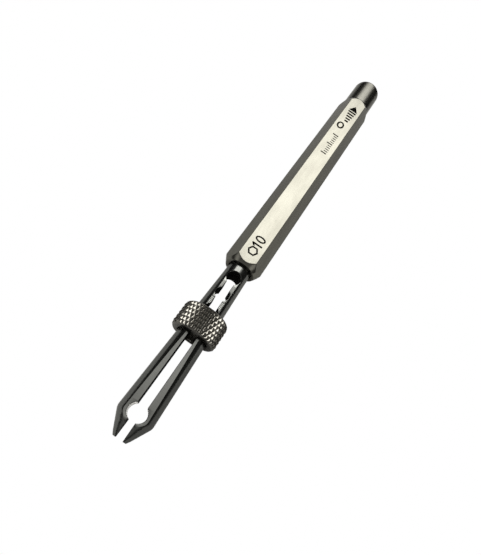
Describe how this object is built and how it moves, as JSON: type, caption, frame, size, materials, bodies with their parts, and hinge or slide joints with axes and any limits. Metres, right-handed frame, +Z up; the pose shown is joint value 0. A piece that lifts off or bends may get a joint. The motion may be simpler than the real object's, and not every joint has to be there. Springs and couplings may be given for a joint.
{
  "type": "case back opener",
  "caption": "Hexagonal bar handle with a slotted spring fork whose pointed jaws close as a knurled collar slides forward along the tines.",
  "frame": {"origin": "centre of the handle's flat rear end face", "axes": "+X along the tool from the rear end face to the jaw tips, +Z up out of the handle's top flat, +Y to the left when looking along +X"},
  "size_m": [0.145, 0.0126, 0.0126],
  "materials": {
    "handle_metal": "fine drawn, dark nickel",
    "fork_metal": "turned and ground, dark nickel",
    "collar_metal": "knurled, dark nickel",
    "marking": "thin black marking"
  },
  "bodies": {
    "handle": {"hex_handle": "handle_metal", "fork_shank": "fork_metal"},
    "left_tine": {"left_tine": "fork_metal"},
    "right_tine": {"right_tine": "fork_metal"},
    "collar": {"slide_collar": "collar_metal"}
  },
  "joints": [
    {"name": "collar_slide", "type": "slide", "parent": "handle", "child": "collar", "axis": [1, 0, 0], "range_m": [-0.0154, 0.0165]},
    {"name": "left_tine_flex", "type": "hinge", "parent": "handle", "child": "left_tine", "pos_m": [0.09965, 0.00264, 0], "axis": [0, 0, -1], "range_deg": [-1.01, 1.08]},
    {"name": "right_tine_flex", "type": "hinge", "parent": "handle", "child": "right_tine", "pos_m": [0.09965, -0.00264, 0], "axis": [0, 0, 1], "range_deg": [-1.01, 1.08]}
  ],
  "couplings": [
    {"joint": "left_tine_flex", "follows": "collar_slide", "rad_per_m": 1.13},
    {"joint": "right_tine_flex", "follows": "collar_slide", "rad_per_m": 1.13}
  ]
}
